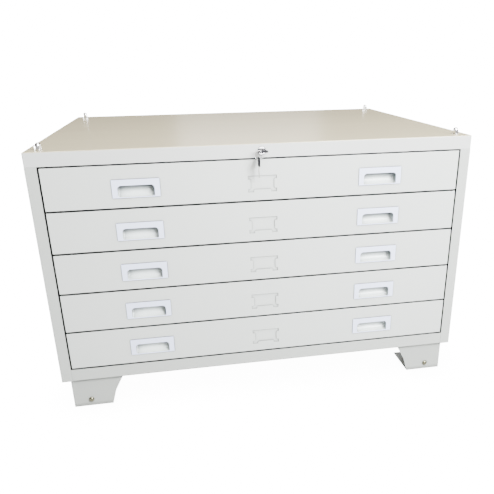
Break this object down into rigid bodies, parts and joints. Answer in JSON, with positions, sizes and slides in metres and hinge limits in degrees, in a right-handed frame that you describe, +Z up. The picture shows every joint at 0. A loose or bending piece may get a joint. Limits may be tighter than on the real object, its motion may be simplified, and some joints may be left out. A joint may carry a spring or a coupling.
{
  "type": "flat file cabinet",
  "caption": "Low steel plan chest on corner feet, with wide shallow drawers on telescopic slides, recessed pulls, label holders and a keyed lock.",
  "frame": {"origin": "on the floor, at the centre of the box around the whole object, keys included", "axes": "+Z up, +X to the right of a person facing the drawers, drawers open towards -Y"},
  "size_m": [1, 0.7532, 0.6466],
  "materials": {
    "carcass_paint": "satin powder coat",
    "top_paint": "gloss powder coat",
    "drawer_paint": "satin powder coat",
    "tray_paint": "satin powder coat",
    "foot_paint": "satin powder coat",
    "pull_plastic": "smooth moulded",
    "chrome": "polished",
    "zinc_steel": "zinc plated",
    "nickel_steel": "nickel plated",
    "black_plastic": "smooth moulded"
  },
  "bodies": {
    "cabinet": {"top_panel": "top_paint", "left_side_panel": "carcass_paint", "right_side_panel": "carcass_paint", "back_panel": "carcass_paint", "bottom_panel": "carcass_paint", "bottom_front_rail": "carcass_paint", "upright_front_left": "carcass_paint", "upright_front_right": "carcass_paint", "upright_rear_left": "carcass_paint", "upright_rear_right": "carcass_paint", "outer_slides_left": "zinc_steel", "outer_slides_right": "zinc_steel", "foot_front_left": "foot_paint", "foot_front_right": "foot_paint", "foot_rear_left": "foot_paint", "foot_rear_right": "foot_paint", "foot_bolts": "chrome", "foot_nuts": "zinc_steel", "stacking_bolts": "zinc_steel", "stacking_washers": "chrome", "stacking_nuts": "chrome", "lock_body": "chrome", "lock_nut": "zinc_steel"},
    "lock_plug": {"lock_plug": "chrome", "lock_cam": "zinc_steel"},
    "key": {"key_blade": "nickel_steel", "key_bow": "black_plastic"},
    "key_ring": {"key_ring": "chrome"},
    "spare_key": {"spare_key_blade": "nickel_steel", "spare_key_bow": "black_plastic"},
    "drawer_1": {"drawer_1_front": "drawer_paint", "drawer_1_tray": "tray_paint", "drawer_1_handle_left": "pull_plastic", "drawer_1_handle_right": "pull_plastic", "drawer_1_inner_slides": "zinc_steel"},
    "drawer_1_runners": {"drawer_1_mid_slides": "zinc_steel"},
    "drawer_2": {"drawer_2_front": "drawer_paint", "drawer_2_tray": "tray_paint", "drawer_2_handle_left": "pull_plastic", "drawer_2_handle_right": "pull_plastic", "drawer_2_inner_slides": "zinc_steel"},
    "drawer_2_runners": {"drawer_2_mid_slides": "zinc_steel"},
    "drawer_3": {"drawer_3_front": "drawer_paint", "drawer_3_tray": "tray_paint", "drawer_3_handle_left": "pull_plastic", "drawer_3_handle_right": "pull_plastic", "drawer_3_inner_slides": "zinc_steel"},
    "drawer_3_runners": {"drawer_3_mid_slides": "zinc_steel"},
    "drawer_4": {"drawer_4_front": "drawer_paint", "drawer_4_tray": "tray_paint", "drawer_4_handle_left": "pull_plastic", "drawer_4_handle_right": "pull_plastic", "drawer_4_inner_slides": "zinc_steel"},
    "drawer_4_runners": {"drawer_4_mid_slides": "zinc_steel"},
    "drawer_5": {"drawer_5_front": "drawer_paint", "drawer_5_tray": "tray_paint", "drawer_5_handle_left": "pull_plastic", "drawer_5_handle_right": "pull_plastic", "drawer_5_inner_slides": "zinc_steel"},
    "drawer_5_runners": {"drawer_5_mid_slides": "zinc_steel"}
  },
  "joints": [
    {"name": "drawer_1_slide", "type": "slide", "parent": "cabinet", "child": "drawer_1", "axis": [0, -1, 0], "range_m": [0, 0.6]},
    {"name": "drawer_1_runner_slide", "type": "slide", "parent": "cabinet", "child": "drawer_1_runners", "axis": [0, -1, 0], "range_m": [0, 0.3]},
    {"name": "drawer_2_slide", "type": "slide", "parent": "cabinet", "child": "drawer_2", "axis": [0, -1, 0], "range_m": [0, 0.6]},
    {"name": "drawer_2_runner_slide", "type": "slide", "parent": "cabinet", "child": "drawer_2_runners", "axis": [0, -1, 0], "range_m": [0, 0.3]},
    {"name": "drawer_3_slide", "type": "slide", "parent": "cabinet", "child": "drawer_3", "axis": [0, -1, 0], "range_m": [0, 0.6]},
    {"name": "drawer_3_runner_slide", "type": "slide", "parent": "cabinet", "child": "drawer_3_runners", "axis": [0, -1, 0], "range_m": [0, 0.3]},
    {"name": "drawer_4_slide", "type": "slide", "parent": "cabinet", "child": "drawer_4", "axis": [0, -1, 0], "range_m": [0, 0.6]},
    {"name": "drawer_4_runner_slide", "type": "slide", "parent": "cabinet", "child": "drawer_4_runners", "axis": [0, -1, 0], "range_m": [0, 0.3]},
    {"name": "drawer_5_slide", "type": "slide", "parent": "cabinet", "child": "drawer_5", "axis": [0, -1, 0], "range_m": [0, 0.6]},
    {"name": "drawer_5_runner_slide", "type": "slide", "parent": "cabinet", "child": "drawer_5_runners", "axis": [0, -1, 0], "range_m": [0, 0.3]},
    {"name": "lock_turn", "type": "hinge", "parent": "cabinet", "child": "lock_plug", "pos_m": [0, -0.34537, 0.6155], "axis": [0, 1, 0], "range_deg": [0, 90]},
    {"name": "key_slide", "type": "slide", "parent": "lock_plug", "child": "key", "axis": [0, -1, 0], "range_m": [0, 0.03]},
    {"name": "ring_swing", "type": "hinge", "parent": "key", "child": "key_ring", "pos_m": [-0.00975, -0.36538, 0.6168], "axis": [0, 1, 0], "range_deg": [-15, 15]},
    {"name": "spare_key_swing", "type": "hinge", "parent": "key_ring", "child": "spare_key", "pos_m": [-0.00975, -0.36538, 0.5998], "axis": [1, 0, 0], "range_deg": [-70, 18]}
  ],
  "couplings": [
    {"joint": "drawer_1_runner_slide", "follows": "drawer_1_slide", "ratio": 0.5},
    {"joint": "drawer_2_runner_slide", "follows": "drawer_2_slide", "ratio": 0.5},
    {"joint": "drawer_3_runner_slide", "follows": "drawer_3_slide", "ratio": 0.5},
    {"joint": "drawer_4_runner_slide", "follows": "drawer_4_slide", "ratio": 0.5},
    {"joint": "drawer_5_runner_slide", "follows": "drawer_5_slide", "ratio": 0.5}
  ]
}
